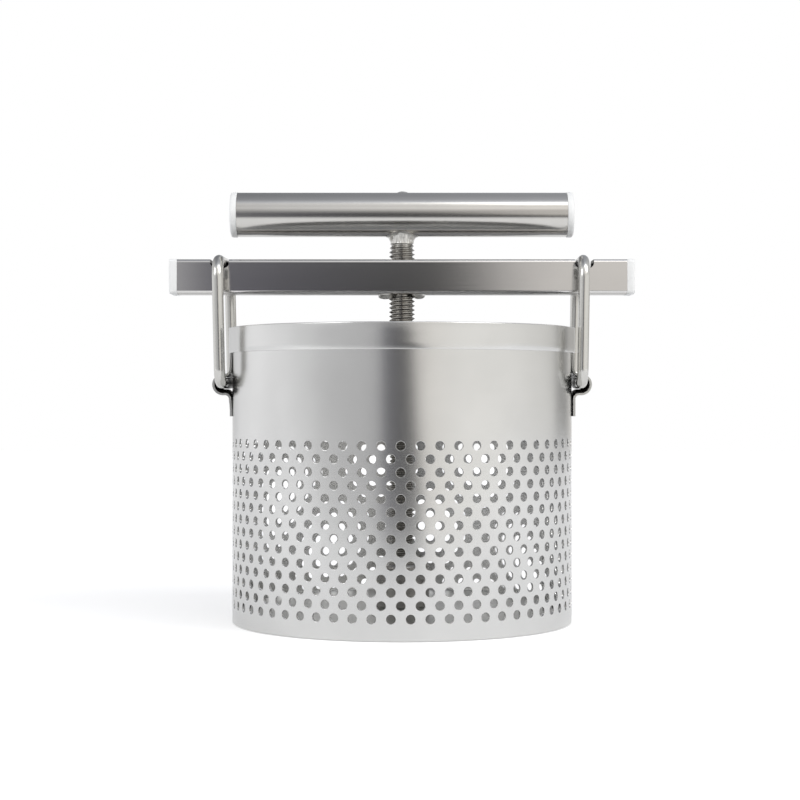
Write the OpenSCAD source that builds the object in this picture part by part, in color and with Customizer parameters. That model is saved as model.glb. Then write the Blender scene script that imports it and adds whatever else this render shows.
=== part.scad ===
// Screw press for vegetables: a perforated sheet basket with two wire links,
// a crossbar hooked under them, and a screw that drives a round plate down.
// Z points up, the basket stands on z = 0 round the Z axis, the crossbar lies along X.

/* [Basket] */
// Outer diameter of the basket wall
basket_d = 168; // [150:1:190]
// Height of the rim above the table
basket_h = 145; // [135:1:158]
// Thickness of the wall sheet
wall_t = 1.0; // [0.8:0.1:1.5]
// Thickness of the floor sheet
floor_t = 1.0; // [0.8:0.1:1.5]
// Height of the floor's upturned flange
floor_flange_h = 5.0; // [3:0.5:6]
// Inner bend radius of the floor's flange
floor_bend_r = 1.5; // [1:0.5:2]

/* [Drain holes] */
// Diameter of the drain holes in the wall
hole_d = 4.3; // [3:0.1:4.4]
// Holes in one row round the wall
holes_round = 59; // [48:1:60]
// Rows of holes
hole_rows = 14; // [10:1:15]
// Height of the lowest row above the table
first_row_z = 10.1; // [9:0.1:12]
// Height from one row to the next
row_pitch = 6.04; // [5.5:0.02:6.2]
// Angle that turns the pattern from the middle of the front
pattern_turn = -0.45; // [-3:0.05:3]
// How far the hole columns at the back have drifted round the wall, in degrees
pattern_drift = 2.1; // [-2.5:0.1:2.5]
// How far the hole rows stand higher at the right of the back
pattern_climb = 1.7; // [-2:0.1:2]
// Diameter of the drain holes in the floor
floor_hole_d = 4.3; // [3:0.1:5]
// Distance from one ring of floor holes to the next
floor_hole_pitch = 9.5; // [8:0.5:12]

/* [Rim band] */
// Height of the band round the rim
band_h = 12.5; // [10:0.5:16]
// Thickness of the band sheet
band_t = 0.5; // [0.4:0.1:1]

/* [Brackets] */
// Width of the bracket straps
strap_w = 24; // [18:1:30]
// Thickness of the straps
strap_t = 1.2; // [1:0.1:1.6]
// Height of a strap's lower end above the table
strap_low_z = 101.4; // [98:0.1:104]
// Inner radius of the loop that holds the link
loop_r = 3.8; // [3.6:0.1:4.2]
// Bend radius where the loop leaves the flat strap, to the middle of the sheet
loop_bend_r = 2.4; // [2:0.1:2.6]
// Distance from the loop's inner side to the basket wall
loop_stand = 0.1; // [0.1:0.1:1]

/* [Links] */
// Diameter of the link wire
wire_d = 5.5; // [4.5:0.1:5.8]
// Width of a link between the centres of its legs
link_w = 50; // [44:1:60]
// Height of a link between the centres of its cross runs
link_h = 59.8; // [56:0.1:62]
// Bend radius of the link's corners, to the middle of the wire
link_bend_r = 9; // [6:0.5:9]
// Height of the link's lower run above the table
link_z = 117.8; // [116:0.1:120]
// Play between the wire and the top of the loop that holds it
loop_play = 0.35; // [0.3:0.05:0.6]
// How far the wire lies from the loop's middle towards the wall
wire_inset = 0.2; // [0:0.05:0.25]
// How far the links lean outwards, in degrees
link_lean = 1.1; // [0.9:0.05:1.6]

/* [Crossbar] */
// Width and height of the square tube
bar_w = 17; // [16:0.5:19]
// Wall thickness of the square tube
bar_wall = 1.5; // [1:0.1:2]
// Corner radius of the square tube
bar_corner_r = 2.0; // [1.5:0.1:3]
// Length of the crossbar past each notch, with its cap
bar_overhang = 20.4; // [18:0.2:30]
// Thickness of a cap outside the tube
bar_cap_t = 4; // [2:0.5:6]
// Depth of the caps' plugs inside the tube
bar_plug_len = 10; // [6:1:12]
// Width of the notches for the links
notch_w = 8.9; // [8.5:0.1:10]
// Depth of the notches
notch_depth = 4.3; // [3.5:0.1:5]
// Radius of the notches' bottom corners
notch_r = 2.4; // [1:0.1:2.7]
// Play between the wire and the bottom of a notch
notch_play = 0.3; // [0.2:0.05:0.5]
// Gap between the wire and the inner side of a notch
notch_side_gap = 0.4; // [0.3:0.05:0.8]

/* [Nut] */
// Length of the nut block inside the crossbar
nut_len = 26; // [20:1:40]
// Radius of the weld beads under the crossbar, to the middle of the bead
bead_ring_r = 9.2; // [8.6:0.1:9.6]
// Width of the weld beads
bead_w = 4.6; // [3:0.2:4.8]
// Height of the weld beads
bead_h = 2.1; // [1:0.1:2.3]
// Angle that each weld bead covers
bead_angle = 80; // [40:5:90]

/* [Screw] */
// Diameter over the thread's crests
thread_d = 12.7; // [11:0.1:12.8]
// Depth of the thread
thread_depth = 1.15; // [0.8:0.05:1.3]
// Rise of the thread in one turn
thread_pitch = 2.117; // [1.5:0.001:2.5]
// Straight steps in one turn of the thread
thread_steps = 14; // [12:1:18]
// Length of thread left above the crossbar
thread_over_bar = 8.1; // [6:0.1:12]
// Diameter of the plain end that turns in the hub
guide_d = 12.9; // [12.8:0.1:13.4]
// Diameter of the journal through the plate
journal_d = 8; // [6:0.5:8]
// Diameter of the plain shank under the handle
shank_d = 10; // [7:0.1:10.1]

/* [Handle] */
// Outer diameter of the handle tube
handle_d = 22; // [20:0.5:28]
// Wall thickness of the handle tube
handle_wall = 1.2; // [1:0.1:2]
// Length of the handle with its caps
handle_len = 170.5; // [150:0.5:200]
// Thickness of a cap outside the tube
handle_cap_t = 3.5; // [2:0.5:5]
// How far a handle cap stands out round the tube
handle_cap_rim = 0.2; // [0:0.1:0.5]
// Edge radius of the handle caps
handle_cap_r = 1.2; // [0.5:0.1:1.5]
// Depth of the handle caps' plugs inside the tube
handle_plug_len = 10; // [6:1:14]
// Angle of the handle to the crossbar, in degrees
handle_angle = 0; // [-15:0.5:15]
// Height of the weld collar from the thread to the handle's underside
collar_h = 3.5; // [3:0.1:6]
// Diameter of the weld collar at its lower end
collar_low_d = 11.7; // [11:0.1:13]
// Diameter of the weld collar where it meets the handle
collar_top_d = 16.2; // [14:0.1:17]
// Diameter of the plug weld on top of the handle
plug_weld_d = 7.5; // [5:0.5:9]
// Height of the plug weld over the handle
plug_weld_h = 0.7; // [0.4:0.1:1]

/* [Press plate] */
// Gap between the plate's edge and the basket wall
plate_gap = 2.0; // [1.8:0.1:4]
// Height of the plate with its turned down edge
plate_h = 6.0; // [5.5:0.1:7]
// Thickness of the plate sheet
plate_t = 1.5; // [1:0.1:1.5]
// Outer radius of the plate's edge
plate_edge_r = 3; // [2:0.5:4]
// Diameter of the hub on the plate
hub_d = 27; // [22:1:32]
// Height of the hub
hub_h = 21; // [15:1:24]
// Chamfer on the hub's top edge
hub_chamfer = 1.5; // [0.5:0.5:2.5]
// Thickness of the thrust washer in the hub
thrust_t = 1.0; // [0.8:0.1:2]
// Thickness of the washer under the plate
washer_t = 1.0; // [0.6:0.1:1.2]
// Diameter of the washer under the plate
washer_d = 18; // [14:1:24]
// Thickness of the snap ring in the journal's groove
ring_t = 1.0; // [0.6:0.1:1]
// Outer diameter of the snap ring
ring_d = 11.5; // [10:0.5:13]
// Mouth of the snap ring as a share of its bore
ring_mouth = 0.8; // [0.5:0.05:0.9]
// Depth of the journal's groove
groove_depth = 0.8; // [0.5:0.1:1]
// Length of the journal under the snap ring
journal_end = 0.5; // [0.3:0.1:0.6]

/* [Fits] */
// Gap between pieces of one assembly that don't move
seat_gap = 0.05; // [0.02:0.01:0.1]
// Gap round a turning shaft
running_gap = 0.05; // [0.03:0.01:0.09]
// Gap between pieces that slide or turn past each other
moving_gap = 0.3; // [0.2:0.05:0.5]

/* [Hidden] */
$fn = 48;
arc_steps = 6;
over = 1;

basket_r = basket_d / 2;
wall_in_r = basket_r - wall_t;
facets = 2 * holes_round;
facet_angle = 360 / facets;
front_angle = -90 + pattern_turn;
drift_from = 65;
drift_span = 60;
lip_t = band_t;
wall_top_z = basket_h - lip_t;
band_low_z = basket_h - band_h;

// The wall is flat between the facet edges, so what lies inside it keeps within the flats
widest_facet = facet_angle * (1 + abs(pattern_drift) / drift_span);
wall_flat_r = wall_in_r * cos(widest_facet / 2);
floor_r = wall_flat_r - seat_gap;

// The strap lies against the wall, and its loop sits round the wire's lower run
strap_face_x = basket_r + strap_t;
strap_mid_x = basket_r + strap_t / 2;
strap_top_z = wall_top_z - seat_gap;
wire_r = wire_d / 2;
loop_mid_r = loop_r + strap_t / 2;
loop_x = basket_r + loop_r + loop_stand;
loop_z = link_z - (loop_r - wire_r - loop_play);
link_x = loop_x - wire_inset;
loop_bend_x = strap_mid_x + loop_bend_r;
loop_bend_dz = sqrt(pow(loop_mid_r + loop_bend_r, 2) - pow(loop_x - loop_bend_x, 2));
loop_join_angle = atan2(loop_bend_dz, loop_x - loop_bend_x);

// The band runs straight from the straps' corners to where it touches the round wall
band_in_r = basket_r + seat_gap;
band_out_r = band_in_r + band_t;
band_in_x = strap_face_x + seat_gap;
band_out_x = band_in_x + band_t;
strap_corner_y = strap_w / 2 + seat_gap;
band_touch_angle = atan2(strap_corner_y, band_in_x)
    + acos(band_in_r / norm([band_in_x, strap_corner_y]));

// The top run of a link lies in the notch, a little above its bottom
link_top_x = link_x + link_h * sin(link_lean);
link_top_z = link_z + link_h * cos(link_lean);
notch_bottom_z = link_top_z - wire_r - notch_play;
bar_top_z = notch_bottom_z + notch_depth;
bar_low_z = bar_top_z - bar_w;
bar_mid_z = bar_top_z - bar_w / 2;
notch_x = link_top_x - wire_r - notch_side_gap + notch_w / 2;
bar_len = 2 * (notch_x + notch_w / 2 + bar_overhang);
bar_tube_len = bar_len - 2 * bar_cap_t;
bar_in_w = bar_w - 2 * bar_wall;
bar_in_r = max(bar_corner_r - bar_wall, 0.3);
block_w = bar_in_w - 2 * seat_gap;

// Heights up the screw, from the plate on the floor to the handle
plate_low_z = floor_t + moving_gap;
plate_top_z = plate_low_z + plate_h;
plate_under_z = plate_top_z - plate_t;
hub_top_z = plate_top_z + hub_h;
thrust_top_z = plate_top_z + thrust_t;
shoulder_z = thrust_top_z + running_gap;
thread_low_z = hub_top_z + 2;
thread_top_z = bar_top_z + thread_over_bar;
handle_z = thread_top_z + collar_h + handle_d / 2;
washer_top_z = plate_under_z - running_gap;
ring_top_z = washer_top_z - washer_t - running_gap;
journal_low_z = ring_top_z - ring_t - running_gap - journal_end;

plate_r = wall_flat_r - plate_gap;
root_d = thread_d - 2 * thread_depth;
nut_bore_d = thread_d + 4 * running_gap;
bar_hole_d = nut_bore_d + 1;
handle_tube_len = handle_len - 2 * handle_cap_t;
handle_in_d = handle_d - 2 * handle_wall;
shank_top_z = handle_z + sqrt(pow(handle_in_d, 2) - pow(shank_d, 2)) / 2 - seat_gap;
plug_hole_d = plug_weld_d - 2;

steel = "silver";
bright = "gainsboro";
dull = "darkgray";
white = "white";

// Points of an arc about a centre, from one angle to another
function arc(centre, r, from, to, steps = arc_steps) = [
    for (i = [0:steps])
        let (a = from + (to - from) * i / steps)
            centre + r * [cos(a), sin(a)]
];

// 0 over the front of the wall and 1 over its back, passing evenly at the sides
function back_share(a) = min(max((acos(cos(a + 90)) - drift_from) / drift_span, 0), 1);

// The hole pattern is true at the front and a little off at the back
function drifted(a) = a + pattern_drift * back_share(a);
function climb(a) = pattern_climb * back_share(a) * (0.5 + 0.577 * cos(a));

// Corners of the round sheet, with its flats centred on the hole columns
function sheet_points(r) = [
    for (i = [0:facets - 1])
        let (a = drifted(front_angle + (i + 0.5) * facet_angle))
            r * [cos(a), sin(a)]
];

// A square about the origin with rounded corners
function rounded_square(w, r) = [
    for (q = [0:3])
        let (m = w / 2 - r, a = 90 * q)
            each arc([m * sign(cos(a + 45)), m * sign(sin(a + 45))], r, a, a + 90, 4)
];

// One drilled hole seen from above and turned to its place
module wall_hole(angle, z) {
    rotate([0, 0, angle])
        translate([wall_in_r - over, 0, z])
            rotate([0, 90, 0])
                cylinder(d = hole_d, h = wall_t + 2 * over, $fn = 24);
}

module basket_wall() {
    color(steel)
        difference() {
            linear_extrude(wall_top_z)
                difference() {
                    polygon(sheet_points(basket_r));
                    polygon(sheet_points(wall_in_r));
                }
            for (row = [0:hole_rows - 1])
                for (i = [0:holes_round - 1])
                    let (a = front_angle + (2 * i + (hole_rows - 1 - row) % 2) * facet_angle)
                        wall_hole(drifted(a), first_row_z + row * row_pitch + climb(a));
        }
}

// Floor sheet with an upturned flange, seen in section
function floor_section() = concat(
    [[0, 0]],
    arc([floor_r - floor_bend_r - floor_t, floor_bend_r + floor_t], floor_bend_r + floor_t, -90, 0),
    [[floor_r, floor_flange_h], [floor_r - floor_t, floor_flange_h]],
    arc([floor_r - floor_bend_r - floor_t, floor_bend_r + floor_t], floor_bend_r, 0, -90),
    [[0, floor_t]]
);

module basket_floor() {
    rings = floor((floor_r - floor_bend_r - 2 * floor_t - floor_hole_d) / floor_hole_pitch);
    color(steel)
        difference() {
            rotate_extrude($fn = 96)
                polygon(floor_section());
            for (ring = [1:rings])
                for (i = [0:6 * ring - 1])
                    rotate([0, 0, i * 60 / ring])
                        translate([ring * floor_hole_pitch, 0, -over])
                            cylinder(d = floor_hole_d, h = floor_t + 2 * over, $fn = 24);
        }
}

// Outline of a sheet that goes round the wall at r and straight over the straps at x
function band_points(r, x) =
    let (
        a = band_touch_angle,
        y = (r - x * cos(a)) / sin(a)
    )
        concat(
            arc([0, 0], r, a, 180 - a, 48),
            [[-x, y], [-x, -y]],
            arc([0, 0], r, 180 + a, 360 - a, 48),
            [[x, -y], [x, y]]
        );

module rim_band() {
    color(steel) {
        translate([0, 0, band_low_z])
            linear_extrude(band_h - lip_t)
                difference() {
                    polygon(band_points(band_out_r, band_out_x));
                    polygon(band_points(band_in_r, band_in_x));
                }
        translate([0, 0, wall_top_z])
            linear_extrude(lip_t)
                difference() {
                    polygon(band_points(band_out_r, band_out_x));
                    circle(r = wall_in_r, $fn = 180);
                }
    }
}

// The strap's section: up the wall, round the loop and up the wall again.
// side is 1 for the face away from the wall and -1 for the face towards it.
function strap_side(side) =
    let (
        off = side * strap_t / 2,
        j = loop_join_angle,
        low_z = loop_z - loop_bend_dz,
        high_z = loop_z + loop_bend_dz
    )
        concat(
            [[strap_mid_x + off, strap_low_z]],
            arc([loop_bend_x, low_z], loop_bend_r - off, 180, j),
            arc([loop_x, loop_z], loop_mid_r + off, j - 180, 180 - j, 24),
            arc([loop_bend_x, high_z], loop_bend_r - off, 360 - j, 180),
            [[strap_mid_x + off, strap_top_z]]
        );

function reversed(list) = [for (i = [len(list) - 1:-1:0]) list[i]];

module bracket() {
    color(bright)
        translate([0, strap_w / 2, 0])
            rotate([90, 0, 0])
                linear_extrude(strap_w)
                    polygon(concat(strap_side(1), reversed(strap_side(-1))));
}

module right_bracket() {
    bracket();
}

module left_bracket() {
    mirror([1, 0, 0])
        bracket();
}

// A closed ring of wire that stands on the middle of its lower run
module link() {
    leg = link_h - 2 * link_bend_r;
    run = link_w - 2 * link_bend_r;
    color(bright)
        translate([link_x, 0, link_z])
            rotate([0, link_lean, 0]) {
                for (z = [0, link_h])
                    translate([0, run / 2, z])
                        rotate([90, 0, 0])
                            cylinder(d = wire_d, h = run);
                for (y = [-link_w / 2, link_w / 2])
                    translate([0, y, link_bend_r])
                        cylinder(d = wire_d, h = leg);
                for (corner = [0:3])
                    link_corner(corner);
            }
}

// One of the link's four bends, counted from the right of the lower run
module link_corner(corner) {
    right = corner == 0 || corner == 1;
    high = corner == 1 || corner == 2;
    y = (link_w / 2 - link_bend_r) * (right ? 1 : -1);
    z = high ? link_h - link_bend_r : link_bend_r;
    translate([0, y, z])
        rotate([90, 0, 90])
            rotate([0, 0, 90 * corner - 90])
                rotate_extrude(angle = 90, $fn = 96)
                    translate([link_bend_r, 0])
                        circle(d = wire_d);
}

module right_link() {
    link();
}

module left_link() {
    mirror([1, 0, 0])
        link();
}

// A prism along X with the given section about the bar's middle
module along_bar(from, to) {
    translate([from, 0, bar_mid_z])
        rotate([90, 0, 90])
            linear_extrude(to - from)
                children();
}

function notch_outline() = concat(
    [[notch_w / 2, over]],
    [[-notch_w / 2, over]],
    arc([notch_r - notch_w / 2, notch_r - notch_depth], notch_r, 180, 270),
    arc([notch_w / 2 - notch_r, notch_r - notch_depth], notch_r, 270, 360)
);

module notch(x) {
    translate([x, bar_w / 2 + over, bar_top_z])
        rotate([90, 0, 0])
            linear_extrude(bar_w + 2 * over)
                polygon(notch_outline());
}

module crossbar() {
    color(steel)
        difference() {
            along_bar(-bar_tube_len / 2, bar_tube_len / 2)
                difference() {
                    polygon(rounded_square(bar_w, bar_corner_r));
                    polygon(rounded_square(bar_in_w, bar_in_r));
                }
            notch(notch_x);
            notch(-notch_x);
            translate([0, 0, bar_low_z - over])
                cylinder(d = bar_hole_d, h = bar_w + 2 * over);
        }
}

// A moulded cap with a hollow plug inside the tube's right end
module crossbar_cap() {
    end = bar_tube_len / 2;
    color(white) {
        along_bar(end, end + bar_cap_t)
            polygon(rounded_square(bar_w, bar_corner_r));
        along_bar(end - bar_plug_len, end)
            difference() {
                polygon(rounded_square(block_w, bar_in_r));
                polygon(rounded_square(block_w - 2 * bar_wall, bar_in_r));
            }
    }
}

module crossbar_right_cap() {
    crossbar_cap();
}

module crossbar_left_cap() {
    mirror([1, 0, 0])
        crossbar_cap();
}

module nut_block() {
    color(dull)
        difference() {
            along_bar(-nut_len / 2, nut_len / 2)
                polygon(rounded_square(block_w, bar_in_r));
            translate([0, 0, bar_low_z])
                cylinder(d = nut_bore_d, h = bar_w);
        }
}

// Half of an oval bead in section, hanging under z = 0
function bead_section() = [
    for (p = arc([0, 0], 1, 180, 360, 8)) [bead_ring_r + p.x * bead_w / 2, p.y * bead_h]
];

module nut_welds() {
    color(dull)
        for (side = [0, 180])
            rotate([0, 0, side - bead_angle / 2])
                translate([0, 0, bar_low_z])
                    rotate_extrude(angle = bead_angle, $fn = 96)
                        polygon(bead_section());
}

// A right-hand thread between two heights, as flats from a root line to a crest line
module thread(z0, z1) {
    s = thread_steps;
    start_z = z0 - 2 * thread_pitch;
    n = ceil((z1 - z0) / thread_pitch + 3) * s;
    root = [
        for (i = [0:n + s])
            let (a = 360 * i / s)
                [root_d / 2 * cos(a), root_d / 2 * sin(a), start_z + thread_pitch * i / s]
    ];
    crest = [
        for (i = [0:n])
            let (a = 360 * i / s)
                [thread_d / 2 * cos(a), thread_d / 2 * sin(a), start_z + thread_pitch * (i / s + 0.5)]
    ];
    ends = [[0, 0, start_z], [0, 0, start_z + thread_pitch * (n / s + 1)]];
    c = len(root);
    e = c + len(crest);
    flanks = [
        for (i = [0:n - 1])
            each [
                [i, c + i, c + i + 1],
                [i, c + i + 1, i + 1],
                [c + i, i + s, i + s + 1],
                [c + i, i + s + 1, c + i + 1]
            ]
    ];
    low_end = concat(
        [for (i = [0:s - 1]) [e, i, i + 1]],
        [[e, s, c], [e, c, 0]]
    );
    high_end = concat(
        [for (i = [n:n + s - 1]) [e + 1, i + 1, i]],
        [[e + 1, c + n, n + s], [e + 1, n, c + n]]
    );
    intersection() {
        polyhedron(concat(root, crest, ends), concat(flanks, low_end, high_end), convexity = 10);
        translate([0, 0, z0])
            cylinder(d = thread_d + 2 * over, h = z1 - z0);
    }
}

module screw() {
    groove_d = journal_d - 2 * groove_depth;
    color(dull) {
        translate([0, 0, journal_low_z])
            difference() {
                cylinder(d = journal_d, h = shoulder_z - journal_low_z);
                translate([0, 0, ring_top_z - ring_t - running_gap - journal_low_z])
                    difference() {
                        cylinder(d = journal_d + 2 * over, h = ring_t + 2 * running_gap);
                        cylinder(d = groove_d, h = ring_t + 2 * running_gap);
                    }
            }
        translate([0, 0, shoulder_z])
            cylinder(d = guide_d, h = thread_low_z - shoulder_z);
        thread(thread_low_z, thread_top_z);
        translate([0, 0, thread_top_z])
            cylinder(d = shank_d, h = shank_top_z - thread_top_z);
    }
}

// Turns what belongs to the handle to where it rests
module on_handle() {
    rotate([0, 0, handle_angle])
        translate([0, 0, handle_z])
            children();
}

// A cylinder along X about the handle's middle
module along_handle(d, from, to) {
    translate([from, 0, 0])
        rotate([0, 90, 0])
            cylinder(d = d, h = to - from, $fn = 96);
}

module handle_tube() {
    half = handle_tube_len / 2;
    color(bright)
        on_handle()
            difference() {
                along_handle(handle_d, -half, half);
                along_handle(handle_in_d, -half - over, half + over);
                translate([0, 0, -handle_d])
                    cylinder(d = shank_d + 2 * seat_gap, h = handle_d);
                cylinder(d = plug_hole_d, h = handle_d);
            }
}

// A round cap with a hollow plug, in section along its own axis
function handle_cap_section() =
    let (
        r = handle_d / 2 + handle_cap_rim,
        plug_r = handle_in_d / 2 - seat_gap
    )
        concat(
            [[0, handle_cap_t]],
            arc([r - handle_cap_r, handle_cap_t - handle_cap_r], handle_cap_r, 90, 0),
            [
                [r, 0],
                [plug_r, 0],
                [plug_r, -handle_plug_len],
                [plug_r - handle_wall, -handle_plug_len],
                [plug_r - handle_wall, 0],
                [0, 0]
            ]
        );

module handle_cap() {
    color(white)
        translate([handle_tube_len / 2, 0, 0])
            rotate([0, 90, 0])
                rotate_extrude($fn = 96)
                    polygon(handle_cap_section());
}

module handle_right_cap() {
    on_handle()
        handle_cap();
}

module handle_left_cap() {
    on_handle()
        mirror([1, 0, 0])
            handle_cap();
}

// The collar widens in a curve from the shank to the underside of the handle
function collar_section() =
    let (
        in_r = shank_d / 2 + seat_gap,
        low_r = collar_low_d / 2,
        top_r = collar_top_d / 2,
        straight = collar_h / 3
    )
        concat(
            [[in_r, 0], [low_r, 0], [low_r, straight]],
            [
                for (p = arc([0, 0], 1, 180, 90, 4))
                    [top_r + p.x * (top_r - low_r), straight + p.y * (collar_h - straight)]
            ],
            [[top_r, handle_d / 2], [in_r, handle_d / 2]]
        );

module handle_weld() {
    color(bright)
        difference() {
            translate([0, 0, thread_top_z + seat_gap])
                rotate_extrude($fn = 96)
                    polygon(collar_section());
            on_handle()
                along_handle(handle_d + 2 * seat_gap, -handle_d, handle_d);
        }
}

// A plug that fills the tube's top hole down to the shank, under a low dome
module handle_plug_weld() {
    dome_r = (pow(plug_weld_d / 2, 2) + pow(plug_weld_h, 2)) / (2 * plug_weld_h);
    tube_top = handle_d / 2;
    stem_low = shank_top_z + seat_gap - handle_z;
    color(bright)
        on_handle() {
            translate([0, 0, stem_low])
                cylinder(d = plug_hole_d - 2 * seat_gap, h = tube_top - stem_low);
            difference() {
                translate([0, 0, tube_top + plug_weld_h - dome_r])
                    sphere(r = dome_r, $fn = 96);
                translate([0, 0, -2 * dome_r])
                    cylinder(r = 2 * dome_r, h = 2 * dome_r + tube_top - 0.3);
                along_handle(handle_d, -2 * dome_r, 2 * dome_r);
            }
        }
}

// The plate turned down at its edge, in section
function plate_section() =
    let (
        in_edge_r = plate_edge_r - plate_t,
        hole_r = journal_d / 2 + running_gap,
        centre = [plate_r - plate_edge_r, plate_h - plate_edge_r]
    )
        concat(
            [[hole_r, plate_h]],
            arc(centre, plate_edge_r, 90, 0),
            [[plate_r, 0], [plate_r - plate_t, 0]],
            arc(centre, in_edge_r, 0, 90),
            [[hole_r, plate_h - plate_t]]
        );

module press_plate() {
    color(steel)
        translate([0, 0, plate_low_z])
            rotate_extrude($fn = 180)
                polygon(plate_section());
}

module press_hub() {
    bore_d = guide_d + 2 * running_gap;
    color(dull)
        translate([0, 0, plate_top_z])
            difference() {
                union() {
                    cylinder(d = hub_d, h = hub_h - hub_chamfer);
                    translate([0, 0, hub_h - hub_chamfer])
                        cylinder(d1 = hub_d, d2 = hub_d - 2 * hub_chamfer, h = hub_chamfer);
                }
                translate([0, 0, -over])
                    cylinder(d = bore_d, h = hub_h + 2 * over);
            }
}

// A flat ring about the screw's axis with its lower face at z
module washer(z, outer_d, inner_d, t) {
    color(bright)
        translate([0, 0, z])
            difference() {
                cylinder(d = outer_d, h = t);
                translate([0, 0, -over])
                    cylinder(d = inner_d, h = t + 2 * over);
            }
}

module thrust_washer() {
    washer(plate_top_z, guide_d - 4 * seat_gap, journal_d + 2 * running_gap, thrust_t);
}

module retaining_washer() {
    washer(washer_top_z - washer_t, washer_d, journal_d + 2 * running_gap, washer_t);
}

// A snap ring with a mouth as wide as the groove it is pushed onto
module snap_ring() {
    inner_d = journal_d - 2 * groove_depth + 2 * running_gap;
    color(dull)
        difference() {
            translate([0, 0, ring_top_z - ring_t])
                cylinder(d = ring_d, h = ring_t);
            translate([0, 0, ring_top_z - ring_t - over])
                cylinder(d = inner_d, h = ring_t + 2 * over);
            translate([0, -inner_d / 2 * ring_mouth, ring_top_z - ring_t - over])
                cube([ring_d, inner_d * ring_mouth, ring_t + 2 * over]);
        }
}

basket_wall();
basket_floor();
rim_band();
left_bracket();
right_bracket();
left_link();
right_link();
crossbar();
crossbar_left_cap();
crossbar_right_cap();
nut_block();
nut_welds();
screw();
handle_tube();
handle_left_cap();
handle_right_cap();
handle_weld();
handle_plug_weld();
press_plate();
press_hub();
thrust_washer();
retaining_washer();
snap_ring();
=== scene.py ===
"""Looks of the screw vegetable press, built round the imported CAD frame."""

import math

import bmesh
import bpy
import numpy as np
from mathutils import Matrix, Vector, noise


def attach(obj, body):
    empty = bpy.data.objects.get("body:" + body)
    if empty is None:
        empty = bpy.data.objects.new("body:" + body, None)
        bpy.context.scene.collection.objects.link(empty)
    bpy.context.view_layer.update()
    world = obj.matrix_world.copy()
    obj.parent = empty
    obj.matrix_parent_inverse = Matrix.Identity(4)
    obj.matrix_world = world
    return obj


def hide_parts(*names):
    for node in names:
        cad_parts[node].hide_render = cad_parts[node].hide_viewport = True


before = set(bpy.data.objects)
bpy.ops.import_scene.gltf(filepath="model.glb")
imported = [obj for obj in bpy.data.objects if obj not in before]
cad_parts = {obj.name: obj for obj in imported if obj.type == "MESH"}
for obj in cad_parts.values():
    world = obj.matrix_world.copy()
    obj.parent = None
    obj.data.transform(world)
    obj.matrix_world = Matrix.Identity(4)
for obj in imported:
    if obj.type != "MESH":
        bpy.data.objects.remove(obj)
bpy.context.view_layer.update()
MM = 0.001

# ---------------------------------------------------------------- camera

CAMERA_AT = (-0.0010, -0.925, 0.1094)
camera_data = bpy.data.cameras.new("camera")
camera_data.lens = 83.7
camera_data.sensor_width = 36.0
camera_data.clip_start = 0.05
camera_data.clip_end = 20.0
camera = bpy.data.objects.new("camera", camera_data)
bpy.context.scene.collection.objects.link(camera)
camera.location = CAMERA_AT
camera.rotation_euler = (math.radians(90), 0, 0)
bpy.context.scene.camera = camera
bpy.context.scene.view_settings.view_transform = "Standard"


# ---------------------------------------------------------------- node helpers


class Tree:
    """A material's or the world's nodes, made by type name and linked by socket."""

    def __init__(self, owner):
        owner.use_nodes = True
        self.tree = owner.node_tree
        self.tree.nodes.clear()

    def add(self, kind, inputs=None, **settings):
        node = self.tree.nodes.new(kind)
        for name, value in settings.items():
            setattr(node, name, value)
        for name, value in (inputs or {}).items():
            if isinstance(value, bpy.types.NodeSocket):
                self.tree.links.new(value, node.inputs[name])
            else:
                node.inputs[name].default_value = value
        return node

    def ramp(self, fac, stops, interpolation="LINEAR"):
        """A colour ramp with stops of (place, grey or colour)."""
        node = self.add("ShaderNodeValToRGB", {"Fac": fac})
        ramp = node.color_ramp
        ramp.interpolation = interpolation
        while len(ramp.elements) < len(stops):
            ramp.elements.new(0.5)
        for element, (place, value) in zip(ramp.elements, stops):
            element.position = place
            colour = (value,) * 3 if isinstance(value, (int, float)) else value
            element.color = (*colour, 1.0)
        return node.outputs["Color"]

    def math(self, operation, a, b=0.0, c=0.0):
        node = self.add("ShaderNodeMath", {0: a, 1: b, 2: c}, operation=operation)
        return node.outputs[0]

    def multiply(self, fac, a, b):
        """Colour a, multiplied by colour b as far as fac says."""
        return self.add("ShaderNodeMixRGB", {"Fac": fac, "Color1": a, "Color2": b}, blend_type="MULTIPLY").outputs[0]

    def smooth_step(self, value, start, end):
        """0 at start, 1 at end, with a soft passage; it falls where start is above end."""
        low, high = min(start, end), max(start, end)
        inputs = {"Value": value, "From Min": low, "From Max": high}
        if start > end:
            inputs.update({"To Min": 1.0, "To Max": 0.0})
        node = self.add("ShaderNodeMapRange", inputs, interpolation_type="SMOOTHSTEP")
        return node.outputs["Result"]

    def scale_range(self, value, low, high):
        """Value from 0 to 1 brought to low to high."""
        node = self.add("ShaderNodeMapRange", {"Value": value, "To Min": low, "To Max": high})
        return node.outputs["Result"]


# ---------------------------------------------------------------- studio

# Brightness round the horizon by the angle from the camera's side, in degrees, positive to the right
HORIZON = [
    (-180, 0.70), (-152, 0.72), (-138, 0.96), (-116, 1.10), (-88, 0.98), (-67, 0.82), (-49, 0.67), (-27, 0.62),
    (-12, 0.57), (0, 0.68), (9, 0.88), (22, 0.98), (45, 1.04),
    (75, 1.00), (104, 0.88), (119, 0.78), (130, 0.35), (143, 0.35), (156, 0.72), (180, 0.80),
]
# Brightness of the room above, by the angle over the object from the camera's side to the back
VAULT = [
    (0, 0.60), (8, 0.60), (17, 0.66), (24, 0.86), (29, 1.12), (34, 1.02), (41, 0.94), (49, 1.05), (56, 1.10),
    (63, 0.93), (68, 0.78), (75, 0.60), (82, 0.51), (94, 0.47), (112, 0.41), (150, 0.37), (168, 0.60), (180, 0.80),
]
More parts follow.
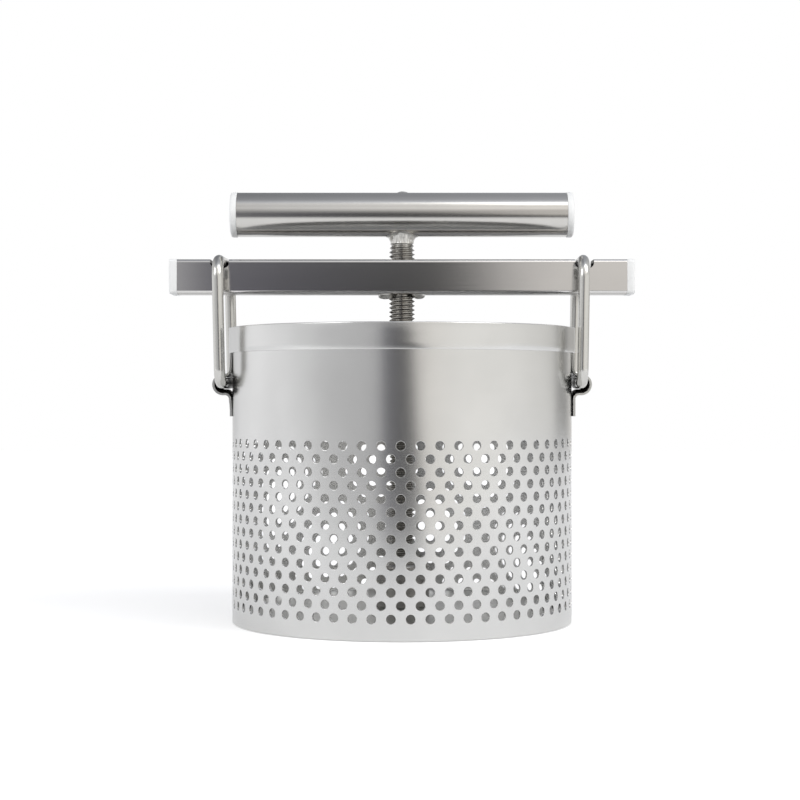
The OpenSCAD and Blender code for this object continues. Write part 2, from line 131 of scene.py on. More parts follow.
# Brightness of the room above by the direction's X, from -0.25 at 0 to 0.25 at 1
ACROSS = [(0.0, 0.7), (0.33, 0.74), (0.5, 0.92), (0.67, 1.1), (1.0, 1.15)]
# The ramps hold brightness as a share of this, because a ramp ends at 1
PEAK = 1.2
# Colour of the light by its direction's X, and of the light from overhead
WARMTH = [
    (-0.4, (0.985, 0.985, 1.0)), (-0.05, (0.985, 0.985, 1.0)), (0.0, (1.0, 0.985, 0.975)), (0.06, (1.0, 0.972, 0.94)),
    (0.12, (1.0, 0.962, 0.918)), (0.3, (1.0, 0.968, 0.928)), (0.6, (1.0, 0.985, 0.957)),
]
OVERHEAD = (0.95, 0.98, 1.06, 1)
# The dark camera stand: left edge, right edge and its widening downwards, top, in metres
STAND_Y, STAND_LEFT, STAND_RIGHT, STAND_SPREAD, STAND_TOP = -1.0, -0.225, 0.09, 0.62, 0.5


def build_world():
    world = bpy.data.worlds.new("studio")
    bpy.context.scene.world = world
    t = Tree(world)
    direction = t.add("ShaderNodeTexCoord").outputs["Generated"]
    xyz = t.add("ShaderNodeSeparateXYZ", {"Vector": direction})
    x, y, z = xyz.outputs
    front = t.math("MULTIPLY", y, -1.0)
    turn = t.math("MULTIPLY_ADD", t.math("ARCTAN2", x, front), 0.5 / math.pi, 0.5)
    horizon = t.ramp(turn, [((a + 180) / 360, v / PEAK) for a, v in HORIZON], "EASE")
    over = t.math("MULTIPLY", t.math("ARCTAN2", z, front), 1 / math.pi)
    vault = t.ramp(over, [(a / 180, v / PEAK) for a, v in VAULT], "EASE")
    across = t.ramp(t.math("MULTIPLY_ADD", x, 2.0, 0.5), ACROSS)
    vault = t.multiply(1.0, vault, across)
    overhead = t.smooth_step(over, 0.29, 0.36)
    vault = t.multiply(overhead, vault, OVERHEAD)
    aside = t.smooth_step(t.math("ABSOLUTE", x), 0.35, 0.9)
    room = t.add("ShaderNodeMixRGB", {"Fac": aside, "Color1": vault, "Color2": (0.62, 0.62, 0.62, 1)})
    height = t.smooth_step(z, 0.1, 0.4)
    sky = t.add("ShaderNodeMixRGB", {"Fac": height, "Color1": horizon, "Color2": room.outputs[0]})
    tint = t.ramp(t.math("MULTIPLY_ADD", x, 0.5, 0.5), [(a / 2 + 0.5, colour) for a, colour in WARMTH])
    low = t.math("SUBTRACT", 1.0, t.math("MULTIPLY", overhead, height))
    tinted = t.multiply(low, sky.outputs[0], tint)
    light = t.add("ShaderNodeBackground", {"Color": tinted, "Strength": PEAK})
    white = t.add("ShaderNodeBackground", {"Color": (1, 1, 1, 1), "Strength": 1.0})
    path = t.add("ShaderNodeLightPath")
    shiny = t.math("MAXIMUM", path.outputs["Is Glossy Ray"], path.outputs["Is Transmission Ray"])
    backdrop = t.math("MULTIPLY", shiny, t.smooth_step(y, 0.93, 0.99))
    seen = t.math("MAXIMUM", path.outputs["Is Camera Ray"], backdrop)
    mix = t.add("ShaderNodeMixShader", {0: seen, 1: light.outputs[0], 2: white.outputs[0]})
    t.add("ShaderNodeOutputWorld", {"Surface": mix.outputs[0]})


def stage_sheet(name, corners, material):
    mesh = bpy.data.meshes.new(name)
    mesh.from_pydata(corners, [], [(0, 1, 2, 3)])
    mesh.materials.append(material)
    sheet = bpy.data.objects.new(name, mesh)
    bpy.context.scene.collection.objects.link(sheet)
    return sheet


def build_floor():
    """A pale table whose front edge fades out in front of the object."""
    material = bpy.data.materials.new("floor_white")
    t = Tree(material)
    diffuse = t.add("ShaderNodeBsdfDiffuse", {"Color": (0.86, 0.86, 0.86, 1)})
    place = t.add("ShaderNodeNewGeometry").outputs["Position"]
    reach = t.add("ShaderNodeVectorMath", {0: place}, operation="LENGTH").outputs["Value"]
    # Painted light: the floor glows, fully for the camera and at 0.6 in reflections, weaker near the object and
    # stronger from 0.4 m to 1.4 m out
    far = t.math("MULTIPLY_ADD", t.smooth_step(reach, 0.4, 1.4), 0.25, 0.38)
    lift = t.add("ShaderNodeEmission", {"Color": (1, 1, 1, 1), "Strength": far})
    both = t.add("ShaderNodeAddShader", {0: diffuse.outputs[0], 1: lift.outputs[0]})
    path = t.add("ShaderNodeLightPath")
    shiny = t.math("MAXIMUM", path.outputs["Is Glossy Ray"], path.outputs["Is Transmission Ray"])
    seen = t.math("MAXIMUM", path.outputs["Is Camera Ray"], t.math("MULTIPLY", shiny, 0.6))
    sheet = t.add("ShaderNodeMixShader", {0: seen, 1: diffuse.outputs[0], 2: both.outputs[0]})
    y = t.add("ShaderNodeSeparateXYZ", {"Vector": place}).outputs["Y"]
    edge = t.smooth_step(y, -0.82, -0.38)
    clear = t.add("ShaderNodeBsdfTransparent")
    mix = t.add("ShaderNodeMixShader", {0: edge, 1: clear.outputs[0], 2: sheet.outputs[0]})
    t.add("ShaderNodeOutputMaterial", {"Surface": mix.outputs[0]})
    side, front, back, z = 3.0, -1.1, 3.0, -0.0003
    stage_sheet("floor", [(-side, front, z), (side, front, z), (side, back, z), (-side, back, z)], material)


def build_stand():
    """The dark camera stand that the metal mirrors; it stands behind the camera."""
    material = bpy.data.materials.new("stand_dark")
    t = Tree(material)
    place = t.add("ShaderNodeNewGeometry").outputs["Position"]
    xyz = t.add("ShaderNodeSeparateXYZ", {"Vector": place})
    x, z = xyz.outputs["X"], xyz.outputs["Z"]
    left = t.smooth_step(x, STAND_LEFT - 0.035, STAND_LEFT + 0.035)
    wider = t.math("MULTIPLY", t.math("MAXIMUM", t.math("SUBTRACT", 0.2, z), 0.0), STAND_SPREAD)
    right = t.smooth_step(t.math("SUBTRACT", x, wider), STAND_RIGHT + 0.06, STAND_RIGHT - 0.06)
    top = t.ramp(z, [(0.24, 1.0), (0.34, 0.62), (STAND_TOP - 0.08, 0.55), (STAND_TOP, 0.0)], "EASE")
    cover = t.math("MULTIPLY", t.math("MULTIPLY", left, right), top)
    tone = t.ramp(t.math("MULTIPLY_ADD", x, 1.0, 0.5), [(0.3, (0.155, 0.153, 0.178)), (0.5, (0.074, 0.074, 0.076))])
    dark = t.add("ShaderNodeEmission", {"Color": tone, "Strength": 1.0})
    clear = t.add("ShaderNodeBsdfTransparent")
    mix = t.add("ShaderNodeMixShader", {0: cover, 1: clear.outputs[0], 2: dark.outputs[0]})
    t.add("ShaderNodeOutputMaterial", {"Surface": mix.outputs[0]})
    x0, x1, z0, z1, y = -0.4, 0.4, -0.4, 0.6, STAND_Y
    stand = stage_sheet("camera_stand", [(x0, y, z0), (x1, y, z0), (x1, y, z1), (x0, y, z1)], material)
    stand.visible_camera = False


def area_light(name, at, aim, width, height, power):
    data = bpy.data.lights.new(name, "AREA")
    data.shape = "RECTANGLE"
    data.size = width
    data.size_y = height
    data.energy = power
    lamp = bpy.data.objects.new(name, data)
    bpy.context.scene.collection.objects.link(lamp)
    lamp.location = at
    lamp.rotation_euler = (Vector(aim) - Vector(at)).to_track_quat("-Z", "Y").to_euler()


build_world()
build_floor()
build_stand()
area_light("key_softbox", (0.95, -0.65, 1.0), (0, 0, 0.1), 0.8, 0.6, 4.5)
area_light("fill_softbox", (-0.95, -0.75, 0.8), (0, 0, 0.1), 0.7, 0.6, 3.5)
area_light("strip_softbox", (0.5, -0.56, 1.26), (0.2, 0, 0.2), 0.96, 0.36, 1.5)


# ---------------------------------------------------------------- materials


def steel(name, colour, roughness, grain, grain_bump=0.02, spread=0.06, anisotropic=0.0):
    """Steel with fine lines: grain is the texture's scale along X, Y and Z."""
    material = bpy.data.materials.new(name)
    t = Tree(material)
    place = t.add("ShaderNodeTexCoord").outputs["Object"]
    lines_at = t.add("ShaderNodeMapping", {"Vector": place, "Scale": grain})
    lines_look = {"Scale": 1.0, "Detail": 3.0, "Roughness": 0.6}
    lines = t.add("ShaderNodeTexNoise", {"Vector": lines_at.outputs[0], **lines_look})
    clouds = t.add("ShaderNodeTexNoise", {"Vector": place, "Scale": 28.0, "Detail": 4.0, "Roughness": 0.55})
    darker = [c * 0.93 for c in colour]
    tone = t.ramp(clouds.outputs["Fac"], [(0.3, darker), (0.7, colour)])
    rough_lines = t.scale_range(lines.outputs["Fac"], roughness - spread, roughness + spread)
    bump = t.add("ShaderNodeBump", {"Height": lines.outputs["Fac"], "Strength": grain_bump, "Distance": 0.0002})
    shader = t.add(
        "ShaderNodeBsdfPrincipled",
        {
            "Base Color": tone,
            "Metallic": 1.0,
            "Roughness": rough_lines,
            "Anisotropic": anisotropic,
            "Normal": bump.outputs[0],
        },
    )
    t.add("ShaderNodeOutputMaterial", {"Surface": shader.outputs[0]})
    return material


def plastic(name, colour, roughness):
    material = bpy.data.materials.new(name)
    t = Tree(material)
    place = t.add("ShaderNodeTexCoord").outputs["Object"]
    pores = t.add("ShaderNodeTexNoise", {"Vector": place, "Scale": 900.0, "Detail": 3.0})
    clouds = t.add("ShaderNodeTexNoise", {"Vector": place, "Scale": 60.0, "Detail": 2.0})
    tone = t.ramp(clouds.outputs["Fac"], [(0.3, [c * 0.97 for c in colour]), (0.7, colour)])
    rough = t.scale_range(pores.outputs["Fac"], roughness - 0.08, roughness + 0.08)
    bump = t.add("ShaderNodeBump", {"Height": pores.outputs["Fac"], "Strength": 0.04, "Distance": 0.0002})
    shader = t.add(
        "ShaderNodeBsdfPrincipled",
        {
            "Base Color": tone,
            "Roughness": rough,
            "Subsurface Weight": 0.15,
            "Subsurface Radius": (0.004, 0.004, 0.004),
            "Normal": bump.outputs[0],
        },
    )
    t.add("ShaderNodeOutputMaterial", {"Surface": shader.outputs[0]})
    return material


SHEET = steel("sheet_round_grain", (0.70, 0.70, 0.69), 0.2, (25, 25, 5200), anisotropic=0.5)
STRAP = steel("strap_smooth", (0.70, 0.70, 0.68), 0.25, (900, 900, 60))
PLATE = steel("plate_mill", (0.68, 0.68, 0.67), 0.3, (40, 900, 40))
BAR = steel("bar_long_grain", (0.70, 0.69, 0.68), 0.11, (18, 4200, 4200), spread=0.03)
TUBE = steel("tube_long_grain", (0.64, 0.628, 0.603), 0.17, (12, 5200, 5200), spread=0.02)
WIRE = steel("wire_smooth", (0.64, 0.635, 0.61), 0.22, (900, 900, 60), spread=0.03)
THREAD = steel("thread_dull", (0.37, 0.36, 0.34), 0.22, (900, 900, 900))
WELD = steel("weld_rough", (0.76, 0.75, 0.72), 0.36, (1500, 1500, 90), grain_bump=0.5)
# Painted shade: near-black steel for the shaded inside of the strap's loop, the held wire, the notch walls and the
# bore
PAINTED_SHADE_STEEL = steel("steel_painted_shade", (0.16, 0.155, 0.15), 0.45, (300, 300, 300))
# Painted shade: the bar's underside is darker than the bar's own steel, and it is also rougher
UNDERSIDE_ROUGH_SHADE = steel("bar_underside_rough_painted_shade", (0.55, 0.54, 0.52), 0.36, (18, 4200, 4200))
CAP = plastic("cap_white", (0.90, 0.91, 0.91), 0.45)

NODE_LOOKS = {
    SHEET: ["basket_floor"],
    WIRE: ["thrust_washer", "retaining_washer"],
    THREAD: ["nut_block", "snap_ring"],
}
for look, names in NODE_LOOKS.items():
    for name in names:
        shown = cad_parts[name]
        shown.data.materials.clear()
        shown.data.materials.append(look)


# ---------------------------------------------------------------- mesh helpers


def put(name, verts, faces, look, body, nodes, sharp=32):
    """A finished piece from points in millimetres, riding on a body for its CAD nodes."""
    mesh = bpy.data.meshes.new(name)
    mesh.from_pydata((np.asarray(verts, float) * MM).tolist(), [], [list(f) for f in faces])
    obj = bpy.data.objects.new(name, mesh)
    bpy.context.scene.collection.objects.link(obj)
    shade(obj, sharp)
    obj.data.materials.clear()
    obj.data.materials.append(look)
    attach(obj, body)
    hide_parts(*nodes)
    return obj


def shade(obj, sharp):
    obj.data.shade_smooth()
    obj.data.set_sharp_from_angle(angle=math.radians(sharp))


def bake(obj):
    """Keeps the result of the modifiers as the mesh."""
    shape = obj.evaluated_get(bpy.context.evaluated_depsgraph_get())
    mesh = bpy.data.meshes.new_from_object(shape)
    obj.modifiers.clear()
    obj.data = mesh


def outward(verts, faces):
    """Faces turned so that the closed shell encloses a positive volume."""
    v = np.asarray(verts, float)
    total = 0.0
    for f in faces:
        a = v[f[0]]
        for j, k in zip(f[1:-1], f[2:]):
            total += float(np.dot(a, np.cross(v[j], v[k])))
    return faces if total > 0 else [tuple(reversed(f)) for f in faces]


def wear(obj, look, chosen):
    """A second look for the faces for which chosen(number, centre in millimetres, normal) holds."""
    obj.data.materials.append(look)
    last = len(obj.data.materials) - 1
    for face in obj.data.polygons:
        if chosen(face.index, face.center / MM, face.normal):
            face.material_index = last


def arc(cx, cy, r, start, end, steps):
    angles = np.radians(np.linspace(start, end, steps + 1))
    return [(cx + r * math.cos(a), cy + r * math.sin(a)) for a in angles]


def lathe(profile, steps, place=None):
    """A closed outline of (radius, height) turned round the Z axis, or round place's axis."""
    verts, rings = [], []
    for r, z in profile:
        if r < 1e-6:
            rings.append([len(verts)] * steps)
            verts.append((0.0, 0.0, z))
        else:
            rings.append(list(range(len(verts), len(verts) + steps)))
            for i in range(steps):
                a = 2 * math.pi * i / steps
                verts.append((r * math.cos(a), r * math.sin(a), z))
    faces = []
    for ring, following in zip(rings, rings[1:] + rings[:1]):
        for i in range(steps):
            j = (i + 1) % steps
            face = list(dict.fromkeys((ring[i], ring[j], following[j], following[i])))
            if len(face) > 2:
                faces.append(tuple(face))
    if place is not None:
        verts = [place(v) for v in verts]
    return verts, outward(verts, faces)


def loft(rings, closed=False):
    """Quads between rings with the same number of points; open ends get a flat cover."""
    n = len(rings[0])
    verts = [p for ring in rings for p in ring]
    faces = []
    count = len(rings)
    for s in range(count if closed else count - 1):
        a, b = s * n, ((s + 1) % count) * n
        for i in range(n):
            j = (i + 1) % n
            faces.append((a + i, a + j, b + j, b + i))
    if not closed:
        faces.append(tuple(range(n)))
        faces.append(tuple(reversed(range((count - 1) * n, count * n))))
    return verts, outward(verts, faces)


def rounded_square(w, r, steps=8):
    m = w / 2 - r
    points = []
    for q, (sx, sy) in enumerate(((1, 1), (-1, 1), (-1, -1), (1, -1))):
        points += arc(sx * m, sy * m, r, 90 * q, 90 * q + 90, steps)
    return points


def joined(*shells):
    """Several closed shells as the points and faces of one mesh."""
    verts, faces = [], []
    for more, more_faces in shells:
        faces += [tuple(i + len(verts) for i in f) for f in more_faces]
        verts += more
    return verts, faces


def smooth(t):
    t = min(max(t, 0.0), 1.0)
    return t * t * (3 - 2 * t)


# ---------------------------------------------------------------- sizes in millimetres

WALL_R, WALL_IN_R, WALL_TOP = 84.0, 83.0, 144.5
HOLES, ROWS, ROW_Z, ROW_PITCH, HOLE_R = 59, 14, 10.1, 6.04, 2.15
FRONT, DRIFT, CLIMB = -90.45, 2.1, 1.7
LINK_Z, LINK_W, LINK_H, WIRE_R = 117.8, 50.0, 59.8, 2.75
TOP_BEND, LOW_BEND = 9.0, 7.0
# Each link's lower run, and how far it leans outwards and is twisted round its middle, in degrees
STANCE = {1: (87.7, 0.95, 0.8), -1: (87.4, 1.3, 1.8)}
BAR_Z, BAR_W, BAR_TUBE, BAR_R = 170.34, 17.0, 111.0, 1.7
NOTCH_X, NOTCH_W, NOTCH_LOW, NOTCH_R = 90.0, 9.2, 174.54, 2.4
THREAD_LOW, THREAD_TOP, PITCH = 30.3, 186.94, 2.117
HANDLE_Z, HANDLE_R, HANDLE_HALF = 201.44, 11.0, 81.75


# ---------------------------------------------------------------- basket


def back_share(turn):
    """0 over the front of the wall and 1 over its back, passing evenly at the sides."""
    return min(max((abs((turn + 270) % 360 - 180) - 65) / 60, 0.0), 1.0)


def drifted(turn):
    return turn + DRIFT * back_share(turn)


def climb(turn):
    return CLIMB * back_share(turn) * (0.5 + 0.577 * math.cos(math.radians(turn)))


def wall_mesh():
    """The perforated sheet: cells of one hole each, then plain rows above and below."""
    half = 180.0 / HOLES
    step = half / 4
    top_cell = ROW_PITCH / 2
    low, high = ROW_Z - top_cell, ROW_Z + (ROWS - 1) * ROW_PITCH + top_cell
    verts, faces, seen = [], [], {}

    def at(r, turn, z):
        a = math.radians(turn)
        return (r * math.cos(a), r * math.sin(a), z)

    def shared(r, k, z):
        """A point of the common grid: k counts quarter steps round the basket."""
        key = (r, k % (8 * HOLES), round(z, 4))
        if key not in seen:
            seen[key] = len(verts)
            turn = FRONT + (k % (8 * HOLES)) * step
            rise = climb(turn) if low - 0.01 < z < high + 0.01 else 0.0
            verts.append(at(r, drifted(turn), z + rise))
        return seen[key]

    # The cell's border in quarter steps and half heights, against the clock from its right side
    border = [(4, 0), (4, 0.5)] + [(k, 1) for k in range(4, -5, -1)] + [(-4, 0.5)]
    border += [(-k, -v) for k, v in border]

    def hole_ring(r, radius, turn, z):
        start = len(verts)
        for i in range(24):
            a = 2 * math.pi * i / 24
            side = math.degrees(math.asin(radius * math.cos(a) / r))
            verts.append(at(r, turn + side, z + radius * math.sin(a)))
        return list(range(start, start + 24))

    for row in range(ROWS):
        z = ROW_Z + row * ROW_PITCH
        for i in range(HOLES):
            k = 8 * i + 4 * ((ROWS - 1 - row) % 2)
            turn, mid = drifted(FRONT + k * step), z + climb(FRONT + k * step)
            rings = [
                [shared(WALL_R, k + u, z + v * top_cell) for u, v in border],
                hole_ring(WALL_R, HOLE_R + 0.17, turn, mid),
                hole_ring(WALL_R - 0.05, HOLE_R + 0.05, turn, mid),
                hole_ring(WALL_R - 0.17, HOLE_R, turn, mid),
                hole_ring(WALL_IN_R + 0.06, HOLE_R, turn, mid),
                hole_ring(WALL_IN_R, HOLE_R + 0.06, turn, mid),
                [shared(WALL_IN_R, k + u, z + v * top_cell) for u, v in border],
            ]
            for a, b in zip(rings, rings[1:]):
                for p in range(24):
                    q = (p + 1) % 24
                    faces.append((a[p], a[q], b[q], b[p]))
    foot = [(WALL_R, low)] + arc(WALL_R - 0.45, 0.45, 0.45, 0, -90, 5)
    foot += arc(WALL_IN_R + 0.25, 0.25, 0.25, 270, 180, 3) + [(WALL_IN_R, low)]
    head = [(WALL_IN_R, z) for z in (high, 118.0, WALL_TOP)] + [(WALL_R, z) for z in (WALL_TOP, 118.0, high)]
    for outline in (foot, head):
        for (r0, z0), (r1, z1) in zip(outline, outline[1:]):
            for k in range(8 * HOLES):
                faces.append((shared(r0, k, z0), shared(r1, k, z1), shared(r1, k + 1, z1), shared(r0, k + 1, z0)))
    return verts, outward(verts, faces)


def radial_normals(obj, radii):
    """Faces that lie on one of the radii get the true normals of that cylinder."""
    mesh = obj.data
    count = len(mesh.vertices)
    co = np.empty(count * 3)
    mesh.vertices.foreach_get("co", co)
    co = co.reshape(-1, 3)
    r = np.hypot(co[:, 0], co[:, 1])
    on = {name: np.abs(r - value * MM) < 1e-6 for name, value in radii.items()}
    normals = [(0.0, 0.0, 0.0)] * len(mesh.loops)
    for face in mesh.polygons:
        for name, flags in on.items():
            if abs(face.normal.z) < 0.1 and all(flags[v] for v in face.vertices):
                sign = 1.0 if name == "out" else -1.0
                for loop, v in zip(face.loop_indices, face.vertices):
                    normals[loop] = (sign * co[v, 0] / r[v], sign * co[v, 1] / r[v], 0.0)
    mesh.normals_split_custom_set(normals)


wall_verts, wall_faces = wall_mesh()
wall = put("basket_sheet", wall_verts, wall_faces, SHEET, "basket", ["basket_wall"])
radial_normals(wall, {"out": WALL_R, "in": WALL_IN_R})

# How closely each strap follows the round wall: below the loop, above it, and under the band
STRAP_HUG = {1: (0.0, 0.75, 1.0), -1: (0.7, 0.5, 0.92)}
STRAP_T, STRAP_HALF, STRAP_LOW, STRAP_HIGH = 1.2, 12.0, 101.4, 144.45
# Points of the strap's line between which the inside of the loop gets painted shade, a near-black steel
LOOP_FROM, LOOP_TO = 7, 53


def strap_hug(side, z):
    low, high, top = STRAP_HUG[side]
    below = low * (1 - smooth((z - 104) / 8))
    above = high * smooth((z - 121) / 6) + (top - high) * smooth((z - 127) / 6)
    return below + above


def strap_line(pinch):
    """Middle of the strap seen from the front: points and outward directions; pinch closes the loop on the wire."""
    mid_x, bend_r = 84.6, 2.4
    loop_r, loop_x, loop_z = 4.75 - 1.1 * pinch, 87.95 - 0.25 * pinch, 117.0 + 0.8 * pinch
    bend_x = mid_x + bend_r
    dz = math.sqrt((loop_r + bend_r) ** 2 - (loop_x - bend_x) ** 2)
    join = math.degrees(math.atan2(dz, loop_x - bend_x))
    line = [(mid_x, z, 1.0, 0.0) for z in (STRAP_LOW, STRAP_LOW + 0.25, 104.0, 107.0)]
    for a in np.radians(np.linspace(180, join, 9)):
        line.append((bend_x + bend_r * math.cos(a), loop_z - dz + bend_r * math.sin(a), -math.cos(a), -math.sin(a)))
    for a in np.radians(np.linspace(join - 180, 180 - join, 37)[1:-1]):
        line.append((loop_x + loop_r * math.cos(a), loop_z + loop_r * math.sin(a), math.cos(a), math.sin(a)))
    for a in np.radians(np.linspace(360 - join, 180, 9)):
        line.append((bend_x + bend_r * math.cos(a), loop_z + dz + bend_r * math.sin(a), -math.cos(a), -math.sin(a)))
    line += [(mid_x, z, 1.0, 0.0) for z in np.linspace(126, STRAP_HIGH, 12)]
    return line


def strap_mesh(side):
    edge = 0.18
    stations = [(-STRAP_HALF, edge), (-STRAP_HALF + edge * 0.4, edge * 0.4), (-STRAP_HALF + edge, 0.0)]
    stations += [(y, 0.0) for y in np.linspace(-STRAP_HALF + 1.5, STRAP_HALF - 1.5, 13)]
    stations += [(-y, cut) for y, cut in reversed(stations[:3])]
    rings = []
    for y, cut in stations:
        sag = WALL_R - math.sqrt(WALL_R**2 - y**2)
        h = STRAP_T / 2 - cut
        line = strap_line(1 - smooth((abs(y) - 4) / 6.5))
        ring = []
        for sign in (1, -1):
            for x, z, nx, nz in line if sign == 1 else reversed(line):
                px, pz = x + sign * nx * h, z + sign * nz * h
                ring.append((side * (px - strap_hug(side, pz) * sag), y, pz))
        rings.append(ring)
    return loft(rings)


for side, name in ((1, "right"), (-1, "left")):
    verts, faces = strap_mesh(side)
    strap = put(f"{name}_strap", verts, faces, STRAP, "basket", [f"{name}_bracket"])
    # Painted shade, a near-black steel, on the inside of the loop without the strap's rounded edges
    points = len(strap_line(0))
    wide = range(4 * points, len(faces) - 2 - 4 * points)
    loop = range(2 * points - 1 - LOOP_TO, 2 * points - LOOP_FROM)
    wear(strap, PAINTED_SHADE_STEEL, lambda i, c, n: i in wide and i % (2 * points) in loop)


def band_plan(side, off):
    """Right half (side 1) or left half of the band's outline at a distance over wall and straps."""
    hug = STRAP_HUG[side][2]
    points = []
    edge_y = STRAP_HALF + 0.05

    def over_strap(y):
        sag = WALL_R - math.sqrt(WALL_R**2 - y**2)
        return WALL_R + STRAP_T - hug * sag + off

    corner = (over_strap(edge_y), edge_y + off * 0.35)
    reach = math.hypot(*corner)
    touch = math.atan2(corner[1], corner[0]) + math.acos((WALL_R + off) / reach)
    end = ((WALL_R + off) * math.cos(touch), (WALL_R + off) * math.sin(touch))
    for y in np.linspace(0, edge_y - 0.7, 8):
        points.append((over_strap(y), y))
    before = points[-1]
    toward = (corner[0] + (end[0] - corner[0]) * 0.07, corner[1] + (end[1] - corner[1]) * 0.07)
    for t in (0.2, 0.4, 0.6, 0.8, 1.0):
        bend = zip(before, corner, toward)
        points.append(tuple((1 - t) ** 2 * p + 2 * t * (1 - t) * c + t * t * q for p, c, q in bend))
    for t in (0.33, 0.66):
        points.append((toward[0] + (end[0] - toward[0]) * t, toward[1] + (end[1] - toward[1]) * t))
    for a in np.linspace(touch, math.pi / 2, 84):
        points.append(((WALL_R + off) * math.cos(a), (WALL_R + off) * math.sin(a)))
    return points


def ring_plan(off):
    """The whole outline, against the clock from the right strap's middle."""
    right, left = band_plan(1, off), band_plan(-1, off)
    front_to_back = right + [(-x, y) for x, y in reversed(left[:-1])]
    return front_to_back + [(x, -y) for x, y in reversed(front_to_back[1:-1])]


def band_mesh():
    """The thin band with a rolled upper edge that closes over the wall."""
    low, top, t, gap, roll = 132.5, 145.0, 0.5, 0.05, 0.45
    section = [(gap, low + 0.1), (gap + 0.12, low)]
    section += [(gap + t - 0.16, low), (gap + t - 0.04, low + 0.06), (gap + t, low + 0.2)]
    section += [(gap + t, z) for z in (136.0, 140.0, top - roll)]
    for a in np.radians((22.5, 45, 67.5, 90)):
        section.append((gap + t - roll + roll * math.cos(a), top - roll + roll * math.sin(a)))
    rings = [[(x, y, z) for x, y in ring_plan(off)] for off, z in section]
    inner = [(WALL_IN_R + 0.2, top), (WALL_IN_R + 0.06, top - 0.06), (WALL_IN_R, top - 0.2)]
    for r, z in inner + [(WALL_IN_R, WALL_TOP + 0.005)]:
        ring = []
        for x, y, _ in rings[0]:
            reach = math.hypot(x, y)
            ring.append((x / reach * r, y / reach * r, z))
        rings.append(ring)
    rings.append([(x, y, WALL_TOP + 0.005) for x, y in ring_plan(gap)])
    return loft(rings, closed=True)


verts, faces = band_mesh()
put("rim_sheet", verts, faces, SHEET, "basket", ["rim_band"])


# ---------------------------------------------------------------- links


def link_mesh(side):
    """A ring of wire with four bends that leans outwards and is a little twisted."""
    w, h = LINK_W / 2, LINK_H / 2
    path = []
    for sy, sz, start in ((1, 1, 0), (-1, 1, 90), (-1, -1, 180), (1, -1, 270)):
        bend = TOP_BEND if sz > 0 else LOW_BEND
        for i in range(17):
            a = math.radians(start + 90 * i / 16)
            path.append((sy * (w - bend) + bend * math.cos(a), sz * (h - bend) + bend * math.sin(a), a))
        if sy * sz > 0:
            # Rings at both ends of the segment that lies in the notch or in the strap's loop
            held = 8.4 if sz > 0 else 11.8
            path += [(y, sz * h, a) for y in (sy * held, -sy * held)]
    foot = STANCE[side][0]
    lean, twist = np.radians(STANCE[side][1:])
    rings = []
    for y, z, a in path:
        ring = []
        for i in range(32):
            b = 2 * math.pi * i / 32
            out, across = WIRE_R * math.cos(b), WIRE_R * math.sin(b)
            py, pz = y + out * math.cos(a), z + out * math.sin(a) + LINK_H / 2
            x = side * (foot + across * math.cos(lean) + pz * math.sin(lean)) + py * math.tan(twist)
            ring.append((x, py, LINK_Z + pz * math.cos(lean) - across * math.sin(lean)))
        rings.append(ring)
    return loft(rings, closed=True)


for side, name in ((1, "right"), (-1, "left")):
    verts, faces = link_mesh(side)
    wire = put(f"{name}_wire", verts, faces, WIRE, f"{name}_link", [f"{name}_link"])
    # Painted shade, a near-black steel, on the straight segment held in the strap, all round, and on the underside of
    # the one held in the notch
    wear(wire, PAINTED_SHADE_STEEL, lambda i, c, n: abs(c.y) < 1 and (c.z < 121 or 170 < c.z < 177))


# ---------------------------------------------------------------- crossbar


def cutter(name, verts, faces):
    mesh = bpy.data.meshes.new(name)
    mesh.from_pydata((np.asarray(verts, float) * MM).tolist(), [], [list(f) for f in faces])
    obj = bpy.data.objects.new(name, mesh)
    bpy.context.scene.collection.objects.link(obj)
    return obj


def cut(obj, tools):
    for tool in tools:
        modifier = obj.modifiers.new("cut", "BOOLEAN")
        modifier.operation = "DIFFERENCE"
        modifier.solver = "EXACT"
        modifier.object = tool
    bake(obj)
    for tool in tools:
        bpy.data.objects.remove(tool)


def finish_edges(obj, width, angle=35, segments=3):
    """Small rounds on the sharp edges, with the flats kept flat."""
    bevel = obj.modifiers.new("edge", "BEVEL")
    bevel.width = width * MM
    bevel.segments = segments
    bevel.limit_method = "ANGLE"
    bevel.angle_limit = math.radians(angle)
    bevel.miter_outer = "MITER_ARC"
    bevel.harden_normals = False
    normals = obj.modifiers.new("normals", "WEIGHTED_NORMAL")
    normals.keep_sharp = True
    bake(obj)


def along_x(section, places):
    """Rings of a section about the bar's middle, one at each x with its growth."""
    return [[(x, y * grow, BAR_Z + z * grow) for y, z in section] for x, grow in places]


def on_side(side, rings):
    return [[(side * x, y, z) for x, y, z in ring] for ring in rings]


BAR_OUTER, BAR_INNER = rounded_square(BAR_W, BAR_R), rounded_square(BAR_W - 3, 0.6)
verts, faces = loft(along_x(BAR_OUTER, [(-BAR_TUBE, 1), (BAR_TUBE, 1)]))
tools = [cutter("bore", *loft(along_x(BAR_INNER, [(-BAR_TUBE - 5, 1), (BAR_TUBE + 5, 1)])))]
for side in (1, -1):
    low = NOTCH_LOW + NOTCH_R
    u_shape = [(NOTCH_W / 2, 190.0), (-NOTCH_W / 2, 190.0)]
    u_shape += arc(NOTCH_R - NOTCH_W / 2, low, NOTCH_R, 180, 270, 10)
    u_shape += arc(NOTCH_W / 2 - NOTCH_R, low, NOTCH_R, 270, 360, 10)
    rings = [[(side * NOTCH_X + x, y, z) for x, z in u_shape] for y in (-12, 12)]
    tools.append(cutter("notch", *loft(rings)))
tools.append(cutter("hole", *lathe([(0, 150), (6.95, 150), (6.95, 190), (0, 190)], 64)))
bar = put("bar_tube", verts, faces, BAR, "crossbar", ["crossbar"])
cut(bar, tools)


